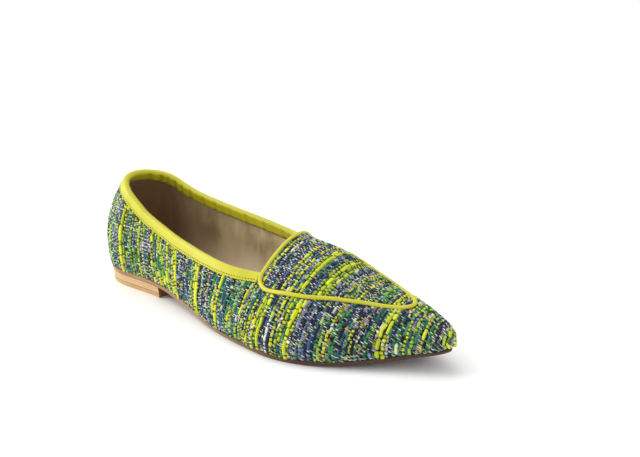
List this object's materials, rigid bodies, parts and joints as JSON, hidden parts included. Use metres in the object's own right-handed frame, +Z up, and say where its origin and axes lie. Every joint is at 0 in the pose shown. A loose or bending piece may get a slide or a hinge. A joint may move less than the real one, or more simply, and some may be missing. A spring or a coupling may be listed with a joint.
{
  "type": "ballet flat",
  "caption": "Right ballet flat in woven tweed with a pointed toe, a corded vamp insert, a bound collar and a low stacked heel.",
  "frame": {"origin": "on the floor, under the middle of the shoe's bounding box", "axes": "+X toward the toe, +Y toward the wearer's left (the medial side), +Z up"},
  "size_m": [0.262, 0.0822, 0.0684],
  "materials": {
    "tweed": "coarse woven tweed, matte",
    "trim": "smooth yellow leather, satin",
    "lining": "soft beige leather, matte",
    "sole_leather": "polished tan edge",
    "heel_stack": "stacked leather, burnished",
    "heel_tip": "burnished, matte underneath"
  },
  "bodies": {
    "root": {"upper": "tweed", "collar_binding": "trim", "throat_binding": "trim", "vamp_piping": "trim", "insole": "lining", "outsole": "sole_leather", "heel_block": "heel_stack", "heel_top_piece": "heel_tip"}
  },
  "joints": []
}
